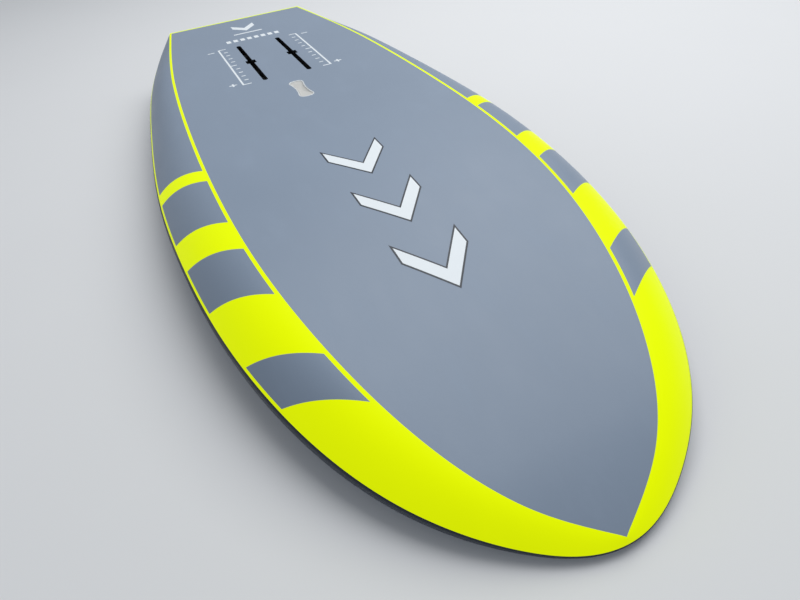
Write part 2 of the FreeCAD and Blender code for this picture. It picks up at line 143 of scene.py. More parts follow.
# Deck pads
PAD = 0.005
PAD_WIDTH = 0.82
PAD_BEVEL = 0.0016
PAD_SINK = 0.0003  # how far a pad's upper face lies inside the deck's skin
PAD_REAR_X = (-0.361, -0.024)
PAD_SIDE_X = (-0.012, 0.780)
PAD_GAP = 0.006
MAST_GAP_X = 0.525
MAST_GAP_Y = 0.044
PAD_CORNER = 0.012
PAD_SLICE = 0.020
GROOVE_PITCH = 0.016
GROOVE_DEPTH = 0.0016
GROOVE_HALF_WIDTH = 0.0014
GROOVE_MARGIN = 0.006  # from a pad's side to its first groove, at least
GROOVE_SHIFT = 0.0001  # keeps the grooves clear of the outline's own corners
KICK_X = (-0.355, -0.301)
KICK_FLAT = 0.016
KICK_TOE = 0.001  # thickness of the kick at its thin end
KICK_HALF_WIDTH = 0.130
KICK_ROUNDING = 0.0022
OVERLAP = 0.0004  # how far the kick reaches into its pad, and a cutter past a pad's face

# Light and camera
LIGHT_SIZE = 3.0
OVERHEAD_POWER = 74
BELOW_POWER = 130
SKY = (0.86, 0.92, 1.0)
SKY_STRENGTH = 0.40
CAMERA_PLACE = (1.3558, -0.2620, 0.4200)
CAMERA_FORWARD = (-0.72786, 0.25821, -0.63525)
CAMERA_UP = (-0.55338, 0.32590, 0.76652)
LENS = 28.14

# Colours, linear
GREY_BLUE = (0.235, 0.290, 0.370)
YELLOW = (0.42, 0.50, 0.0)
YELLOW_PAINTED_GLOW = (0.48, 0.56, 0.0)  # painted glow: emission added to the yellow whatever the lamps, standing in for what fluorescent paint sends back beyond the light it scatters
CHARCOAL = (0.034, 0.041, 0.052)
WHITE = (0.80, 0.84, 0.86)
INK = (0.030, 0.036, 0.046)
BLACK = (0.010, 0.010, 0.011)
YELLOW_SHEEN = 0.05


def rocker(x):
    """Height of the flat hull panel."""
    nose = np.maximum(0.0, x - 0.324)
    tip = np.maximum(0.0, x - 1.050)
    tail = np.maximum(0.0, 0.0255 - x)
    return -3.2e-3 * nose**2 - 197.5e-3 * nose**3 - tip**2 - 23.2e-3 * tail**2


def crease_drop(x):
    """How far the rail crease lies below the hull panel."""
    forward = np.clip((x - 0.600) / 0.555, 0.0, 1.0)
    return CREASE_DROP * (1.0 - forward**2.5) ** 0.6


def bevel_share(x, share):
    """Part of the bevel's drop reached at a share of its width: rounded, but straight at the tail."""
    aft = np.clip(x / TAIL_X, 0.0, 1.0)
    straight = 0.2 + 0.8 * aft**1.5
    return straight * share + (1.0 - straight) * share**2.3


def deck(x):
    """Height of the deck."""
    nose = np.maximum(0.0, x - 0.600) / (NOSE_X - 0.600)
    tail = np.maximum(0.0, -0.050 - x) / (-0.050 - TAIL_X)
    return -THICKNESS + (REST_Z + THICKNESS) * nose**2 + 0.007 * tail**2


# ---------------------------------------------------------------- curves and outlines


def smooth_curve(points, end_way=None):
    """Function of the share of its length along a smooth curve through the points."""
    places = np.array(points, float)
    steps = np.diff(places, axis=0)
    lengths = np.linalg.norm(steps, axis=1)
    slopes = steps / lengths[:, None]
    count = len(places)
    matrix = np.eye(count)
    right = np.zeros((count, 2))
    for i in range(1, count - 1):
        matrix[i, i - 1 : i + 2] = lengths[i - 1], 2 * (lengths[i - 1] + lengths[i]), lengths[i]
        right[i] = 6 * (slopes[i] - slopes[i - 1])
    if end_way is not None:
        matrix[-1, -2:] = lengths[-1], 2 * lengths[-1]
        right[-1] = 6 * (np.array(end_way) - slopes[-1])
    bends = np.linalg.solve(matrix, right)
    dense = [places[0]]
    for i, length in enumerate(lengths):
        for share in np.linspace(0, 1, 200)[1:]:
            a, b = 1 - share, share
            straight = a * places[i] + b * places[i + 1]
            bow = (a**3 - a) * bends[i] + (b**3 - b) * bends[i + 1]
            dense.append(straight + bow * length**2 / 6)
    dense = np.array(dense)
    run = np.concatenate([[0], np.cumsum(np.linalg.norm(np.diff(dense, axis=0), axis=1))])
    return lambda t: np.array([np.interp(t * run[-1], run, dense[:, k]) for k in (0, 1)])


PANEL_EDGE = smooth_curve(PANEL)
RAIL_CREASE = smooth_curve(RAIL, end_way=(0.0, -1.0))


def half_width(curve, x):
    """Half width of an outline at a place along the board."""
    places = np.array([curve(t) for t in np.linspace(0, 1, 1500)])
    return np.interp(x, places[:, 0], places[:, 1])


def arc(centre, radius, start, end, count=12):
    angles = np.radians(np.linspace(start, end, count))
    return [(centre[0] + radius * math.cos(a), centre[1] + radius * math.sin(a)) for a in angles]


def circle(radius, centre, count=48):
    return arc(centre, radius, 0, 360 * (1 - 1 / count), count)


def slot_outline(size, centre):
    """Slot with round ends along the board."""
    half, radius = (size[0] - size[1]) / 2, size[1] / 2
    fore = arc((centre[0] + half, centre[1]), radius, -90, 90)
    aft = arc((centre[0] - half, centre[1]), radius, 90, 270)
    return fore + aft


def rectangle(size, centre):
    x, y = centre
    a, b = size[0] / 2, size[1] / 2
    return [(x - a, y - b), (x + a, y - b), (x + a, y + b), (x - a, y + b)]


def bowed(a, b, bow, count=60):
    """Points from a up to b on an arc that stands out to the right of the way by a distance."""
    a, b = np.array(a), np.array(b)
    half = np.linalg.norm(b - a) / 2
    along = (b - a) / (2 * half)
    aside = np.array([along[1], -along[0]])
    radius = (half**2 + bow**2) / (2 * bow)
    centre = (a + b) / 2 + aside * (bow - radius)
    sweep = math.asin(half / abs(radius))
    turns = np.linspace(-sweep, sweep, count)[:-1]
    return [centre + aside * radius * math.cos(t) + along * abs(radius) * math.sin(t) for t in turns]


def offset(outline, distance):
    """Anticlockwise outline grown outwards by a distance."""
    points = np.array(outline)
    into = points - np.roll(points, 1, axis=0)
    away = np.roll(points, -1, axis=0) - points
    normals = []
    for way in (into, away):
        way = way / np.linalg.norm(way, axis=1)[:, None]
        normals.append(np.stack([way[:, 1], -way[:, 0]], axis=1))
    agreement = np.sum(normals[0] * normals[1], axis=1)[:, None]
    return points + distance * (normals[0] + normals[1]) / (1 + agreement)


def turned(before, after, count=12):
    """Points of a curve that runs on from one row of points and turns into the start of another."""
    start, end = before[-1], after[0]
    out, back = start - before[-2], end - after[1]
    reach = np.linalg.solve(np.array([out, -back]).T, end - start)[0]
    corner = start + reach * out
    between = np.linspace(0, 1, count)[1:-1]
    return [start * (1 - t) ** 2 + corner * 2 * t * (1 - t) + end * t**2 for t in between]


def rounded(outline, radius, steps=6):
    """Outline with each of its sharp corners rounded."""
    points = np.array(outline)
    into = points - np.roll(points, 1, axis=0)
    away = np.roll(points, -1, axis=0) - points
    into /= np.linalg.norm(into, axis=1)[:, None]
    away /= np.linalg.norm(away, axis=1)[:, None]
    sharp = np.sum(into * away, axis=1) < 0.9
    corners = points[sharp]
    result = []
    for point, before, after, is_corner in zip(points, into, away, sharp):
        if is_corner:
            start, end = point - before * radius, point + after * radius
            for t in np.linspace(0, 1, steps):
                result.append(start * (1 - t) ** 2 + point * 2 * t * (1 - t) + end * t**2)
        elif np.linalg.norm(corners - point, axis=1).min() > radius * 1.1:
            result.append(point)
    return result


def grip_outline(growth):
    """Hourglass outline of the hull grip."""
    side_bow, end_bow = GRIP_BOWS
    x, y = GRIP_CORNER, GRIP_HALF_END
    corners = [(-x, -y), (x, -y), (x, y), (-x, y)]
    sides = []
    for corner, following, bow in zip(corners, corners[1:] + corners[:1], (-side_bow, end_bow) * 2):
        ends = np.array([corner, following])
        side = bowed(corner, following, bow)
        gaps = [np.linalg.norm(ends - point, axis=1).min() for point in side]
        sides.append([point for point, gap in zip(side, gaps) if gap > GRIP_ROUNDING])
    outline = []
    for side, following in zip(sides, sides[1:] + sides[:1]):
        outline += side + turned(side, following)
    return [(GRIP_X + x, y) for x, y in offset(outline, growth)]


# ---------------------------------------------------------------- sections of the board


PANEL_SHARES = np.linspace(0, 1, 10)
BEVEL_STEPS = 16


def line_inboard(x):
    """How much of the upper line's width lies on the flat panel: most of it at the tail."""
    return PINLINE * (0.1 + 0.7 * np.clip(x / TAIL_X, 0.0, 1.0))


def bevel_points(panel, crease):
    """Points over the bevel, with a line's width marked off along both its edges."""
    run = np.linalg.norm(crease - panel)
    upper = min(PINLINE - line_inboard(panel[0]), 0.3 * run)
    lower = run - min(LOWER_PINLINE, 0.3 * run)
    distances = [upper / 2, upper]
    distances += list(np.linspace(upper, lower, BEVEL_STEPS + 1)[1:])
    distances += list(np.linspace(lower, run, 4)[1:])
    drop = crease_drop(crease[0])
    points = []
    for distance in distances:
        share = distance / run
        x, y = panel + (crease - panel) * share
        points.append((x, y, rocker(x) - drop * bevel_share(crease[0], share)))
    return points


def rail_side(run, crease_z, slope, deck_z):
    """Points (out, z) from the crease round the widest line to the deck's edge."""
    height = crease_z - deck_z
    widest = np.array([run + RAIL_BULGE * height, crease_z - SIDE_TOP * height])
    start = np.array([run, crease_z])
    reach = np.linalg.norm(widest - start)
    leave = np.array([1.0, -slope]) / math.hypot(1.0, slope) * reach
    arrive = np.array([0.0, -1.0]) * reach
    points = []
    for t in np.linspace(0, 1, 9)[1:]:
        ease = 3 * t**2 - 2 * t**3
        pull = leave * (t**3 - 2 * t**2 + t) + arrive * (t**3 - t**2)
        points.append(start * (1 - ease) + widest * ease + pull)
    across = 0.012 + 0.5 * height
    last = math.radians(LAST_RAIL_ANGLE)
    down = (widest[1] - deck_z) / math.sin(last)
    for angle in np.linspace(0, last, 13)[1:]:
        out = widest[0] - across * (1 - math.cos(angle))
        points.append(np.array([out, widest[1] - down * math.sin(angle)]))
    return points


def half_section(t):
    """Starboard section: hull points out to the crease, then deck points back to the centreline."""
    panel = PANEL_EDGE(t)
    crease = RAIL_CREASE(t)
    run = np.linalg.norm(crease - panel)
    out = (crease - panel) / run
    inner_y = max(0.9 * panel[1], panel[1] - line_inboard(panel[0]))
    hull = [(panel[0], inner_y * share, rocker(panel[0])) for share in PANEL_SHARES]
    hull.append((*panel, rocker(panel[0])))
    hull += bevel_points(panel, crease)
    before, last = np.array(hull[-2]), np.array(hull[-1])
    slope = (before[2] - last[2]) / np.linalg.norm((last - before)[:2])
    under = [hull[-1]]
    for distance, z in rail_side(run, last[2], slope, deck(crease[0])):
        x, y = panel + out * distance
        under.append((x, y, z))
    edge_x, edge_y, edge_z = under[-1]
    for share in np.linspace(1, 0, 9)[1:]:
        under.append((edge_x, edge_y * share, deck(edge_x) * (1 - share**8) + edge_z * share**8))
    return np.array(hull), np.array(under)


def tail_round_rows(hull, under):
    """Rows that turn the tail section into the transom, over a small radius."""
    whole = np.vstack([hull, under[1:]])
    along = np.zeros_like(whole)
    along[1:-1] = whole[2:] - whole[:-2]
    along[0] = whole[1] - whole[0]
    along[-1] = whole[-1] - whole[-2]
    along /= np.linalg.norm(along, axis=1)[:, None]
    inward = np.stack([np.zeros(len(along)), along[:, 2], -along[:, 1]], axis=1)
    rows = []
    for angle in np.radians([90, 60, 30, 0]):
        moved = whole + inward * TAIL_ROUND * (1 - math.cos(angle))
        moved[:, 0] = TAIL_X + TAIL_ROUND * (1 - math.sin(angle))
        moved[0, 1] = moved[-1, 1] = 0.0
        rows.append((moved[: len(hull)], moved[len(hull) - 1 :]))
    return rows


def board_rows():
    """Half sections from the transom to the nose, closer together towards the nose."""
    rows = tail_round_rows(*half_section(0.0))
    rows.append(half_section(TAIL_LINE / (NOSE_X - TAIL_X)))
    spread = np.linspace(0, 1, 190)[1:]
    rows += [half_section(t) for t in 1 - (1 - spread) ** 1.35]
    return rows


def mirrored(half, from_centre):
    """Row of points from side to side, given the starboard half."""
    port = half * np.array([1, -1, 1])
    if from_centre:
        return np.vstack([port[::-1], half[1:]])
    return np.vstack([half, port[::-1][1:]])


# ---------------------------------------------------------------- meshes


def mesh_object(name, bm, materials):
    mesh = bpy.data.meshes.new(name)
    bm.to_mesh(mesh)
    bm.free()
    obj = bpy.data.objects.new(name, mesh)
    bpy.context.scene.collection.objects.link(obj)
    for material in materials:
        mesh.materials.append(material)
    return obj


def finish_shading(obj, angle=32):
    """Smooth shading with crisp edges where faces meet at more than an angle."""
    obj.data.shade_smooth()
    obj.data.set_sharp_from_angle(angle=math.radians(angle))


def place(obj, body, slot, *nodes):
    """Puts a finished piece on its body, in place of the CAD nodes it stands for."""
    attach(obj, body)
    if nodes:
        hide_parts(*nodes)


def apply_modifiers(obj):
    depsgraph = bpy.context.evaluated_depsgraph_get()
    mesh = bpy.data.meshes.new_from_object(obj.evaluated_get(depsgraph), depsgraph=depsgraph)
    old = obj.data
    obj.modifiers.clear()
    obj.data = mesh
    bpy.data.meshes.remove(old)


def grid_mesh(rows, column_material):
    """Grid of points with its first row closed by one face."""
    bm = bmesh.new()
    grid = [[bm.verts.new(point) for point in row] for row in rows]
    last = len(grid[0]) - 1
    for i in range(len(grid) - 1):
        for j in range(last):
            corners = [grid[i][j], grid[i][j + 1], grid[i + 1][j + 1], grid[i + 1][j]]
            bm.faces.new(corners).material_index = column_material(i, min(j, last - 1 - j))
    bm.faces.new(grid[0]).material_index = column_material(0, 0)
    bmesh.ops.remove_doubles(bm, verts=bm.verts, dist=2e-6)
    bmesh.ops.dissolve_degenerate(bm, dist=1e-6, edges=bm.edges)
    bmesh.ops.recalc_face_normals(bm, faces=bm.faces)
    return bm


def thicken(obj, upward):
    """Gives a laminate its thickness, inwards from an outer face that looks up or down."""
    lift = sum(polygon.normal.z * polygon.area for polygon in obj.data.polygons)
    if (lift > 0) != upward:
        obj.data.flip_normals()
    solidify = obj.modifiers.new("laminate", "SOLIDIFY")
    solidify.thickness = SKIN
    solidify.offset = -1
    apply_modifiers(obj)


def prism(outline, low, high):
    """Closed upright prism of a plan outline."""
    bm = bmesh.new()
    face = bm.faces.new([bm.verts.new((x, y, low)) for x, y in outline])
    grown = bmesh.ops.extrude_face_region(bm, geom=[face])
    lifted = [item for item in grown["geom"] if isinstance(item, bmesh.types.BMVert)]
    bmesh.ops.translate(bm, verts=lifted, vec=(0, 0, high - low))
    bmesh.ops.recalc_face_normals(bm, faces=bm.faces)
    return bm


def joined(parts):
    """One mesh of several."""
    whole = bmesh.new()
    for part in parts:
        mesh = bpy.data.meshes.new("part")
        part.to_mesh(mesh)
        part.free()
        whole.from_mesh(mesh)
        bpy.data.meshes.remove(mesh)
    return whole


def cut(obj, cutter_bm):
    """Takes the cutter's volume away from a piece."""
    cutter = mesh_object("cutter", cutter_bm, [])
    boolean = obj.modifiers.new("cut", "BOOLEAN")
    boolean.operation = "DIFFERENCE"
    boolean.solver = "EXACT"
    boolean.object = cutter
    apply_modifiers(obj)
    bpy.data.objects.remove(cutter)


def slice_along(bm, step):
    """Cuts a mesh across the board at regular places, so that it can bend."""
    xs = [vert.co.x for vert in bm.verts]
    for i in range(math.ceil(min(xs) / step + 0.01), math.ceil(max(xs) / step - 0.01)):
        everything = bm.verts[:] + bm.edges[:] + bm.faces[:]
        bmesh.ops.bisect_plane(bm, geom=everything, plane_co=(i * step, 0, 0), plane_no=(1, 0, 0))


# ---------------------------------------------------------------- materials


def new_material(name):
    material = bpy.data.materials.new(name)
    material.use_nodes = True
    tree = material.node_tree
    return material, tree, tree.nodes["Principled BSDF"]


def node(tree, kind, **settings):
    made = tree.nodes.new(kind)
    for key, value in settings.items():
        setattr(made, key, value)
    return made


def feed(tree, socket, source):
    if isinstance(source, bpy.types.NodeSocket):
        tree.links.new(source, socket)
    else:
        socket.default_value = source


def maths(tree, operation, a, b=0.0, c=0.0):
    made = node(tree, "ShaderNodeMath", operation=operation)
    for socket, source in zip(made.inputs, (a, b, c)):
        feed(tree, socket, source)
    return made.outputs[0]


def mix_colour(tree, share, a, b):
    made = node(tree, "ShaderNodeMix", data_type="RGBA")
    feed(tree, made.inputs[0], share)
    for socket, source in zip(made.inputs[6:8], (a, b)):
        feed(tree, socket, source if isinstance(source, bpy.types.NodeSocket) else (*source, 1.0))
    return made.outputs[2]


def scaled(tree, colour, factor):
    """A colour made lighter or darker by a factor."""
    made = node(tree, "ShaderNodeVectorMath", operation="SCALE")
    feed(tree, made.inputs[0], colour)
    feed(tree, made.inputs["Scale"], factor)
    return made.outputs[0]


def position(tree):
    """Object coordinates, whole and split into x, y and z."""
    whole = node(tree, "ShaderNodeTexCoord").outputs["Object"]
    split = node(tree, "ShaderNodeSeparateXYZ")
    tree.links.new(whole, split.inputs[0])
    return whole, split.outputs


def stretched(tree, where, scale):
    made = node(tree, "ShaderNodeMapping")
    made.inputs["Scale"].default_value = scale
    tree.links.new(where, made.inputs[0])
    return made.outputs[0]


def noise(tree, where, scale, detail=3.0, roughness=0.5):
    made = node(tree, "ShaderNodeTexNoise")
    tree.links.new(where, made.inputs["Vector"])
    made.inputs["Scale"].default_value = scale
    made.inputs["Detail"].default_value = detail
    made.inputs["Roughness"].default_value = roughness
    return made.outputs["Fac"]


def cells(tree, where, scale):
    made = node(tree, "ShaderNodeTexVoronoi")
    tree.links.new(where, made.inputs["Vector"])
    made.inputs["Scale"].default_value = scale
    return made.outputs["Distance"]


def remap(tree, source, low, high, to_low, to_high):
    made = node(tree, "ShaderNodeMapRange")
    tree.links.new(source, made.inputs[0])
    for socket, value in zip(made.inputs[1:5], (low, high, to_low, to_high)):
        socket.default_value = value
    return made.outputs[0]


def bump(tree, principled, heights):
    """Bump from a list of (height, distance)."""
    normal = None
    for height, distance in heights:
        made = node(tree, "ShaderNodeBump")
        made.inputs["Distance"].default_value = distance
        tree.links.new(height, made.inputs["Height"])
        if normal is not None:
            tree.links.new(normal, made.inputs["Normal"])
        normal = made.outputs[0]
    tree.links.new(normal, principled.inputs["Normal"])


def band_mask(tree, x, y):
    """1 where the bevel is yellow, 0 where it is grey."""
    swept = maths(tree, "MULTIPLY_ADD", maths(tree, "ABSOLUTE", y), BAND_SWEEP, x)
    mask = 0.0
    for i, edge in enumerate(BAND_EDGES):
        reach = float(half_width(PANEL_EDGE, edge))
        past = maths(tree, "GREATER_THAN", swept, edge + BAND_SWEEP * reach)
        mask = maths(tree, "SUBTRACT" if i % 2 else "ADD", mask, past)
    return mask


def paint(name, base, yellow=0.0, sheen=0.38):
    """Satin paint over laminate: fine texture, faint handling marks, soft sheen, and a painted glow on the
    yellow.

    Yellow is 1 where the paint is fluorescent, 0 where it is the base colour, or "bands" for both.
    """
    material, tree, principled = new_material(name)
    where, (x, y, _) = position(tree)
    cloudy = noise(tree, where, 3.2, 4.0, 0.55)
    smears = noise(tree, stretched(tree, where, (0.6, 1.6, 1.0)), 14.0, 5.0, 0.6)
    fine = noise(tree, where, 900.0, 2.0)
    peel = noise(tree, where, 160.0, 2.0)
    if yellow == "bands":
        yellow = band_mask(tree, x, y)
    colour = mix_colour(tree, yellow, base, YELLOW)
    # painted glow: the yellow parts emit light of their own, with no lamp behind it
    painted_glow = mix_colour(tree, yellow, (0.0, 0.0, 0.0), YELLOW_PAINTED_GLOW)
    tree.links.new(painted_glow, principled.inputs["Emission Color"])
    principled.inputs["Emission Strength"].default_value = 1.0
    level = maths(tree, "MULTIPLY_ADD", yellow, YELLOW_SHEEN - sheen, sheen)
    tree.links.new(level, principled.inputs["Specular IOR Level"])
    wash = remap(tree, cloudy, 0.3, 0.7, 0.975, 1.025)
    marks = remap(tree, smears, 0.55, 0.75, 1.0, 1.04)
    shade = maths(tree, "MULTIPLY", wash, marks)
    tree.links.new(scaled(tree, colour, shade), principled.inputs["Base Color"])
    tree.links.new(remap(tree, smears, 0.3, 0.7, 0.37, 0.47), principled.inputs["Roughness"])
    bump(tree, principled, [(fine, 0.00002), (peel, 0.00005)])
    return material


def plastic(name, base, roughness=0.42, grain=700.0, depth=0.00003):
    """Moulded plastic with a fine grain."""
    material, tree, principled = new_material(name)
    where, _ = position(tree)
    broad = noise(tree, where, 30.0)
    shade = remap(tree, broad, 0.3, 0.7, 0.9, 1.1)
    tree.links.new(scaled(tree, base, shade), principled.inputs["Base Color"])
    rough = remap(tree, broad, 0.3, 0.7, roughness - 0.06, roughness + 0.06)
    tree.links.new(rough, principled.inputs["Roughness"])
    bump(tree, principled, [(noise(tree, where, grain, 3.0, 0.6), depth)])
    return material


def metal(name, base, roughness):
    """Metal with fine lines from finishing."""
    material, tree, principled = new_material(name)
    where, _ = position(tree)
    lines = noise(tree, stretched(tree, where, (0.15, 2.0, 2.0)), 400.0, 2.0)
    principled.inputs["Metallic"].default_value = 1.0
    shade = remap(tree, lines, 0.3, 0.7, 0.85, 1.1)
    tree.links.new(scaled(tree, base, shade), principled.inputs["Base Color"])
    rough = remap(tree, lines, 0.3, 0.7, roughness - 0.08, roughness + 0.1)
    tree.links.new(rough, principled.inputs["Roughness"])
    bump(tree, principled, [(lines, 0.00001)])
    return material


def foam(name, base, cell, depth, roughness=0.9, sealed=False):
    """Foam with visible cells of a given size, sealed in black round the foil tracks if asked."""
    material, tree, principled = new_material(name)
    where, (_, y, _) = position(tree)
    pores = cells(tree, where, 1.0 / cell)
    broad = noise(tree, where, 12.0, 4.0)
    pore_shade = remap(tree, pores, 0.0, 0.8, 0.90, 1.06)
    broad_shade = remap(tree, broad, 0.3, 0.7, 0.94, 1.06)
    shade = maths(tree, "MULTIPLY", pore_shade, broad_shade)
    if sealed:
        aside = maths(tree, "ABSOLUTE", maths(tree, "SUBTRACT", maths(tree, "ABSOLUTE", y), TRACK_Y))
        near = maths(tree, "LESS_THAN", aside, SEALED_HALF_WIDTH)
        base = mix_colour(tree, near, base, BLACK)
    tree.links.new(scaled(tree, base, shade), principled.inputs["Base Color"])
    principled.inputs["Roughness"].default_value = roughness
    principled.inputs["Specular IOR Level"].default_value = 0.25
    bump(tree, principled, [(pores, depth), (noise(tree, where, 300.0), depth / 2)])
    return material


def wood(name, light, dark):
    """Pale wood with its grain along the board."""
    material, tree, principled = new_material(name)
    where, _ = position(tree)
    grain = noise(tree, stretched(tree, where, (0.04, 1.0, 1.0)), 220.0, 6.0, 0.65)
    share = remap(tree, grain, 0.35, 0.65, 0.0, 1.0)
    tree.links.new(mix_colour(tree, share, light, dark), principled.inputs["Base Color"])
    principled.inputs["Roughness"].default_value = 0.62
    bump(tree, principled, [(grain, 0.00008)])
    return material


MATERIALS = {
    "hull_grey": paint("hull_grey", GREY_BLUE),
    "hull_line": paint("hull_line", YELLOW, 1.0),
    "hull_bevel": paint("hull_bevel", GREY_BLUE, "bands"),
    "marking_white": paint("marking_white", WHITE),
    "marking_ink": paint("marking_ink", INK),
    "deck_charcoal": paint("deck_charcoal", CHARCOAL, sheen=0.12),
    "core_foam": foam("core_foam", (0.86, 0.86, 0.84), 0.004, 0.0003),
    "sandwich_foam": foam("sandwich_foam", (0.67, 0.51, 0.22), 0.0012, 0.0001),
    "foil_block_foam": foam("foil_block_foam", (0.61, 0.40, 0.16), 0.0010, 0.0001, sealed=True),
    "mast_block_foam": foam("mast_block_foam", (0.61, 0.40, 0.16), 0.0010, 0.0001),
    "stringer_wood": wood("stringer_wood", (0.55, 0.37, 0.18), (0.36, 0.22, 0.10)),
    "track_black": plastic("track_black", BLACK),
    "nut_steel": metal("nut_steel", (0.10, 0.105, 0.11), 0.34),
    "grip_white": plastic("grip_white", (0.72, 0.74, 0.74), 0.32, 500.0, 0.00002),
    "grip_foam": foam("grip_foam", (0.56, 0.55, 0.52), 0.0009, 0.00012),
    "vent_black": plastic("vent_black", (0.014, 0.014, 0.015), 0.38),
    "ring_rubber": plastic("ring_rubber", (0.008, 0.008, 0.008), 0.6, 900.0),
    "bright_steel": metal("bright_steel", (0.56, 0.57, 0.58), 0.22),
    "plug_black": plastic("plug_black", (0.016, 0.016, 0.017), 0.5),
    "pad_foam": foam("pad_foam", (0.060, 0.066, 0.076), 0.0006, 0.00010, 0.85),
}

NODE_MATERIALS = {
    "foam_core": "core_foam",
    "hull_sandwich": "sandwich_foam",
    "deck_sandwich": "sandwich_foam",
    "foil_track_block": "foil_block_foam",
    "mast_track_block": "mast_block_foam",
    "stringer_port": "stringer_wood",
    "stringer_starboard": "stringer_wood",
    "foil_track_port": "track_black",
    "foil_track_starboard": "track_black",
    "mast_track": "track_black",
    "front_nut_port": "nut_steel",
    "front_nut_starboard": "nut_steel",
    "rear_nut_port": "nut_steel",
    "rear_nut_starboard": "nut_steel",
    "mast_track_nut": "nut_steel",
    "vent_housing": "vent_black",
    "vent_o_ring": "ring_rubber",
    "vent_screw": "bright_steel",
    "leash_cup": "plug_black",
    "leash_bar": "bright_steel",
    "front_strap_plugs": "plug_black",
    "rear_strap_plugs": "plug_black",
}


def dress_nodes():
    for name, material in NODE_MATERIALS.items():
        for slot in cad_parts[name].material_slots:
            slot.material = MATERIALS[material]


# ---------------------------------------------------------------- hull and deck


def hull_material(row, across):
    """Material index: 0 panel, 1 line, 2 bevel, 3 transom. Across counts columns in from the crease."""
    if row < 1:
        return 3
    if row < 4:
        return 1
    columns = [1] * 3 + [2] * BEVEL_STEPS + [1] * 3
    return columns[across] if across < len(columns) else 0


def darken_slot_edges(obj):
    """Gives the laminate's cut edges round the foil slots the dark material."""
    for polygon in obj.data.polygons:
        x, y, _ = polygon.center
        at_slot = abs(x) < TRACK_SLOT[0] / 2 + 0.003 and abs(abs(y) - TRACK_Y) < INSERTION[1] / 2 + 0.0006
        if at_slot and abs(polygon.normal.z) < 0.5:
            polygon.material_index = 3


def build_hull(rows):
    points = [mirrored(hull, True) for hull, _ in rows]
    materials = [MATERIALS[name] for name in ("hull_grey", "hull_line", "hull_bevel", "deck_charcoal")]
    obj = mesh_object("hull_laminate", grid_mesh(points, hull_material), materials)
    thicken(obj, upward=True)
    slots = [prism(slot_outline(TRACK_SLOT, (0.0, side * TRACK_Y)), -0.01, 0.01) for side in (-1, 1)]
    openings = [prism(rectangle(INSERTION, (0.0, side * TRACK_Y)), -0.01, 0.01) for side in (-1, 1)]
    cut(obj, joined(slots + [prism(grip_outline(0.0), -0.01, 0.01)]))
    cut(obj, joined(openings))
    darken_slot_edges(obj)
    finish_shading(obj)
    place(obj, "board", "hull_paint", "hull_shell")


def build_deck(rows):
    points = [mirrored(under, False) for _, under in rows]
    bm = grid_mesh(points, lambda row, across: 0)
    obj = mesh_object("deck_laminate", bm, [MATERIALS["deck_charcoal"]])
    thicken(obj, upward=False)
    for vert in obj.data.vertices:
        vert.co.z = max(vert.co.z, REST_Z)  # the laminate's inner face crosses the deck at the nose's tip
    outlines = [rectangle(MAST_BOX, (MAST_X, 0.0)), circle(VENT[1], (VENT[0], 0.0))]
    outlines.append(circle(LEASH[1], (LEASH[0], 0.0)))
    outlines += [circle(PLUG_R, plug) for plug in PLUGS]
    cut(obj, joined([prism(outline, -0.15, -0.10) for outline in outlines]))
    finish_shading(obj)
    place(obj, "board", "deck_paint", "deck_shell")


# ---------------------------------------------------------------- markings and grip


def hull_plate(outline, lift, material_index=0):
    """Thin closed plate that follows the hull, its upper face a little above the paint."""
    bm = prism(outline, -PLATE, 0.0)
    slice_along(bm, 0.010)
    for vert in bm.verts:
        vert.co.z += rocker(vert.co.x) + lift
    for face in bm.faces:
        face.material_index = material_index
    return bm


def scale_outlines(side):
    """Outlines of one track's scale: the line, its ticks, and a plus and a minus sign."""
    reach = 5 * SCALE_PITCH
    line_y = side * SCALE_Y
    outlines = [rectangle((2 * reach, SCALE_LINE), (0.0, line_y))]
    small, middle, end = TICKS
    for i in range(-5, 6):
        length = {0: middle, 5: end}.get(abs(i), small)
        start = SCALE_Y - SCALE_LINE / 2 if i in (0, 5, -5) else SCALE_Y - TICK_INSET
        x = i * SCALE_PITCH * (reach - SCALE_LINE / 2) / reach
        outlines.append(rectangle((SCALE_LINE, length), (x, side * (start - length / 2))))
    x, y = SIGN_PLACE
    for sign in (-1, 1):
        outlines.append(rectangle((SCALE_LINE, SIGN_ARM), (sign * x, side * y)))
    arm = (SIGN_ARM - SCALE_LINE) / 2
    for way in (-1, 1):
        outlines.append(rectangle((arm, SCALE_LINE), (x + way * (SCALE_LINE + arm) / 2, side * y)))
    return outlines


def chevron(x, y, length, width, stroke):
    """Outline of a chevron that points to the nose, its tip at x."""
    half = width / 2
    tip, shoulder = x, x - length
    return [
        (shoulder, y - half),
        (shoulder + stroke, y - half),
        (tip, y),
        (shoulder + stroke, y + half),
        (shoulder, y + half),
        (tip - stroke, y),
    ]


def tail_mark_outlines():
    """Outlines of the plain mark aft of the tracks: a chevron, a bar and a row of blocks."""
    outlines = [chevron(*TAIL_CHEVRON_TIP, *TAIL_CHEVRON)]
    outlines.append(rectangle(TAIL_BAR, (TAIL_BAR_X, 0.0)))
    for i in range(TAIL_BLOCKS):
        y = (i - (TAIL_BLOCKS - 1) / 2) * TAIL_BLOCK_PITCH
        outlines.append(rectangle(TAIL_BLOCK, (TAIL_BLOCK_X, y)))
    return outlines


def build_markings():
    plates = []
    for outline in scale_outlines(-1) + scale_outlines(1) + tail_mark_outlines():
        plates.append(hull_plate(outline, PAINT_STEP))
    for tip in CHEVRON_TIPS:
        shape = chevron(tip, CHEVRON_Y, *CHEVRON)
        plates.append(hull_plate(shape, 2 * PAINT_STEP))
        plates.append(hull_plate(offset(shape, CHEVRON_EDGE), PAINT_STEP, 1))
    materials = [MATERIALS["marking_white"], MATERIALS["marking_ink"]]
    obj = mesh_object("hull_markings", joined(plates), materials)
    place(obj, "board", "grip_rim")


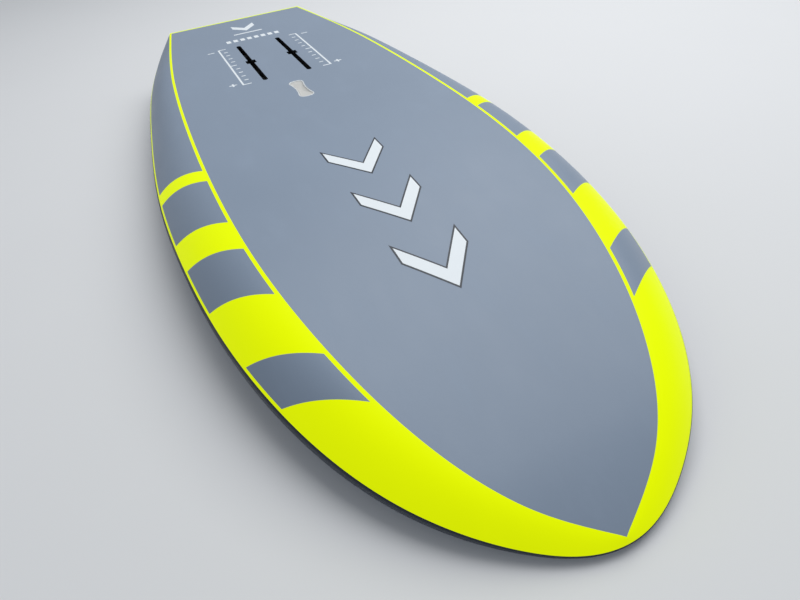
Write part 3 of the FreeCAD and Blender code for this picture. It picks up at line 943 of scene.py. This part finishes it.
def lofted(loops, closed_round=False):
    """Mesh through loops of points with the same count, ended by flat faces or joined back to the start."""
    bm = bmesh.new()
    rings = [[bm.verts.new(point) for point in loop] for loop in loops]
    pairs = list(zip(rings, rings[1:]))
    if closed_round:
        pairs.append((rings[-1], rings[0]))
    else:
        bm.faces.new(rings[0])
        bm.faces.new(rings[-1])
    count = len(rings[0])
    for one, other in pairs:
        for i in range(count):
            bm.faces.new([one[i], one[(i + 1) % count], other[(i + 1) % count], other[i]])
    bmesh.ops.recalc_face_normals(bm, faces=bm.faces)
    return bm


def build_grip_rim():
    """Moulded rim round the grip, rounded over on top and just proud of the hull."""
    section = [(0.0, -GRIP_DEPTH), (0.0, -0.0002), (-0.0003, 0.0001), (-0.0008, 0.0003)]
    section += [(-0.0014, 0.0003), (-0.0021, 0.0), (-GRIP_RIM, -0.0008), (-GRIP_RIM, -GRIP_DEPTH)]
    loops = [[(x, y, z) for x, y in grip_outline(growth - GRIP_FIT)] for growth, z in section]
    obj = mesh_object("grip_moulded_rim", lofted(loops, True), [MATERIALS["grip_white"]])
    finish_shading(obj, 50)
    place(obj, "board", "grip_rim", "hull_grip_frame")


def build_grip_foam():
    """Dished foam filling of the grip, its edge rounded down into the rim."""
    outline = np.array(grip_outline(-GRIP_RIM - GRIP_PLAY))
    centre = np.array([GRIP_X, 0.0])
    rings = [(1.0, -GRIP_DEPTH), (1.0, -0.0020), (0.985, -0.0012), (0.955, FOAM_EDGE_Z)]
    for share in (0.88, 0.78, 0.65, 0.5, 0.33, 0.16):
        rings.append((share, FOAM_EDGE_Z - FOAM_DISH * (1 - share**2)))
    loops = [[(x, y, z) for x, y in centre + (outline - centre) * share] for share, z in rings]
    obj = mesh_object("grip_foam_filling", lofted(loops), [MATERIALS["grip_foam"]])
    finish_shading(obj, 50)
    place(obj, "board", "grip_soft", "hull_grip_pad")


# ---------------------------------------------------------------- deck pads


def pad_edge(ends, count=34):
    """Points along a pad's outer edge, from aft forward, starboard side."""
    xs = np.linspace(*ends, count)
    return [(x, PAD_WIDTH * half_width(RAIL_CREASE, x)) for x in xs]


def bevelled_slab(outline):
    """Pad of an anticlockwise outline with its lower edge rounded off, flat at the height of the deck."""
    levels = [(0.0, PAD_SINK), (0.0, PAD_BEVEL - PAD)]
    levels += [(-0.3 * PAD_BEVEL, 0.35 * PAD_BEVEL - PAD), (-PAD_BEVEL, -PAD)]
    return lofted([[(x, y, z) for x, y in offset(outline, growth)] for growth, z in levels])


def groove_cutter(x_low, x_high, y):
    """Three-sided bar that cuts a V into a pad's lower face."""
    half, low = GROOVE_HALF_WIDTH, -PAD - OVERLAP
    section = [(-half, low), (half, low), (0.0, GROOVE_DEPTH - PAD)]
    return lofted([[(x, y + dy, z) for dy, z in section] for x in (x_low, x_high)])


def build_pad(name, outline, cad_node):
    """Grooved foam pad with holes for the fittings, bent to the deck."""
    obj = mesh_object(name, bevelled_slab(outline), [MATERIALS["pad_foam"]])
    places = np.array(outline)
    (x_low, y_low), (x_high, y_high) = places.min(axis=0), places.max(axis=0)
    first = math.ceil((y_low + GROOVE_MARGIN) / GROOVE_PITCH)
    last = math.floor((y_high - GROOVE_MARGIN) / GROOVE_PITCH)
    ys = [i * GROOVE_PITCH + GROOVE_SHIFT for i in range(first, last + 1)]
    cut(obj, joined([groove_cutter(x_low - 0.01, x_high + 0.01, y) for y in ys]))
    holes = [(VENT[1] + 0.004, (VENT[0], 0.0)), (LEASH[1] + 0.005, (LEASH[0], 0.0))]
    holes += [(PLUG_R + 0.002, plug) for plug in PLUGS]
    cut(obj, joined([prism(circle(radius, centre), -0.02, 0.02) for radius, centre in holes]))
    bm = bmesh.new()
    bm.from_mesh(obj.data)
    slice_along(bm, PAD_SLICE)
    for vert in bm.verts:
        vert.co.z += deck(vert.co.x)
    bm.to_mesh(obj.data)
    bm.free()
    finish_shading(obj, 40)
    place(obj, "board", "eva_pad", cad_node)


def rear_outline():
    starboard = pad_edge(PAD_REAR_X)
    port = [(x, -y) for x, y in starboard]
    return rounded(port + starboard[::-1], PAD_CORNER)


def side_outline(side):
    """Side pad, which leaves a gap along the centreline and steps round the mast track."""
    aft, fore = PAD_SIDE_X
    inner = [(fore, MAST_GAP_Y), (MAST_GAP_X, MAST_GAP_Y), (MAST_GAP_X, PAD_GAP), (aft, PAD_GAP)]
    outline = inner[::-1] + pad_edge(PAD_SIDE_X)[::-1]
    outline = rounded(outline, PAD_CORNER)
    if side < 0:
        outline = [(x, -y) for x, y in outline[::-1]]
    return outline


def build_tail_kick():
    """Wedge with rounded lower edges on the rear pad."""
    aft, fore = KICK_X
    half = KICK_HALF_WIDTH
    top = deck(aft) - PAD + OVERLAP
    bm = bmesh.new()
    profile = [(aft, top), (aft, REST_Z), (aft + KICK_FLAT, REST_Z), (fore, deck(fore) - PAD - KICK_TOE)]
    profile.append((fore, deck(fore) - PAD + OVERLAP))
    face = bm.faces.new([bm.verts.new((x, -half, z)) for x, z in profile])
    grown = bmesh.ops.extrude_face_region(bm, geom=[face])
    moved = [item for item in grown["geom"] if isinstance(item, bmesh.types.BMVert)]
    bmesh.ops.translate(bm, verts=moved, vec=(0, 2 * half, 0))
    bmesh.ops.recalc_face_normals(bm, faces=bm.faces)
    lower = [edge for edge in bm.edges if all(vert.co.z < top - 0.0005 for vert in edge.verts)]
    bmesh.ops.bevel(bm, geom=lower, offset=KICK_ROUNDING, segments=3, profile=0.5, affect="EDGES")
    obj = mesh_object("tail_kick_wedge", bm, [MATERIALS["pad_foam"]])
    finish_shading(obj, 40)
    place(obj, "board", "eva_pad", "tail_kick_pad")


def build_pads():
    build_pad("rear_deck_pad", rear_outline(), "deck_pad_rear")
    build_pad("port_deck_pad", side_outline(-1), "deck_pad_port")
    build_pad("starboard_deck_pad", side_outline(1), "deck_pad_starboard")
    build_tail_kick()


# ---------------------------------------------------------------- stage


def build_floor():
    """Plain pale floor, seen only from above. Soft light passes it, to reach the deck."""
    bm = bmesh.new()
    bmesh.ops.create_grid(bm, x_segments=1, y_segments=1, size=60.0)
    material, tree, principled = new_material("floor")
    where, _ = position(tree)
    shade = remap(tree, noise(tree, where, 2.0, 4.0), 0.3, 0.7, 0.715, 0.725)
    tree.links.new(shade, principled.inputs["Base Color"])
    principled.inputs["Roughness"].default_value = 0.9
    from_above = maths(tree, "SUBTRACT", 1.0, node(tree, "ShaderNodeNewGeometry").outputs["Backfacing"])
    rays = node(tree, "ShaderNodeLightPath").outputs
    mirrored_or_direct = maths(tree, "MAXIMUM", rays["Is Camera Ray"], rays["Is Glossy Ray"])
    seen = maths(tree, "MULTIPLY", mirrored_or_direct, from_above)
    blend = node(tree, "ShaderNodeMixShader")
    tree.links.new(seen, blend.inputs[0])
    tree.links.new(node(tree, "ShaderNodeBsdfTransparent").outputs[0], blend.inputs[1])
    tree.links.new(principled.outputs[0], blend.inputs[2])
    tree.links.new(blend.outputs[0], tree.nodes["Material Output"].inputs["Surface"])
    floor = mesh_object("floor", bm, [material])
    floor.location = (0.4, 0.0, REST_Z - 0.0005)


def area_light(name, where, target, power):
    """Large soft square light aimed at a point."""
    data = bpy.data.lights.new(name, "AREA")
    data.shape = "SQUARE"
    data.size = LIGHT_SIZE
    data.energy = power
    data.color = (0.98, 0.99, 1.0)
    light = bpy.data.objects.new(name, data)
    bpy.context.scene.collection.objects.link(light)
    light.location = where
    light.rotation_euler = (Vector(target) - Vector(where)).to_track_quat("-Z", "Y").to_euler()
    light.visible_camera = False
    return light


def build_lights():
    centre = (0.4, 0.0, 0.0)
    area_light("overhead", (-0.15, 1.00, 2.4), centre, OVERHEAD_POWER)
    below = area_light("below", (0.4, 0.0, -2.4), centre, BELOW_POWER)
    below.visible_glossy = False
    world = bpy.data.worlds.new("studio")
    bpy.context.scene.world = world
    world.use_nodes = True
    background = world.node_tree.nodes["Background"]
    background.inputs["Color"].default_value = (*SKY, 1.0)
    background.inputs["Strength"].default_value = SKY_STRENGTH


def build_camera():
    """Camera above the nose, looking aft over the hull."""
    data = bpy.data.cameras.new("camera")
    data.sensor_width = 36.0
    data.lens = LENS
    data.clip_start = 0.01
    camera = bpy.data.objects.new("camera", data)
    bpy.context.scene.collection.objects.link(camera)
    forward = Vector(CAMERA_FORWARD).normalized()
    up = Vector(CAMERA_UP)
    right = forward.cross(up).normalized()
    turn = Matrix((right, right.cross(forward), -forward)).transposed()
    camera.matrix_world = Matrix.Translation(CAMERA_PLACE) @ turn.to_4x4()
    bpy.context.scene.camera = camera


half_rows = board_rows()
build_hull(half_rows)
build_deck(half_rows)
build_markings()
build_grip_rim()
build_grip_foam()
build_pads()
dress_nodes()
build_floor()
build_lights()
build_camera()
bpy.context.scene.view_settings.view_transform = "Standard"
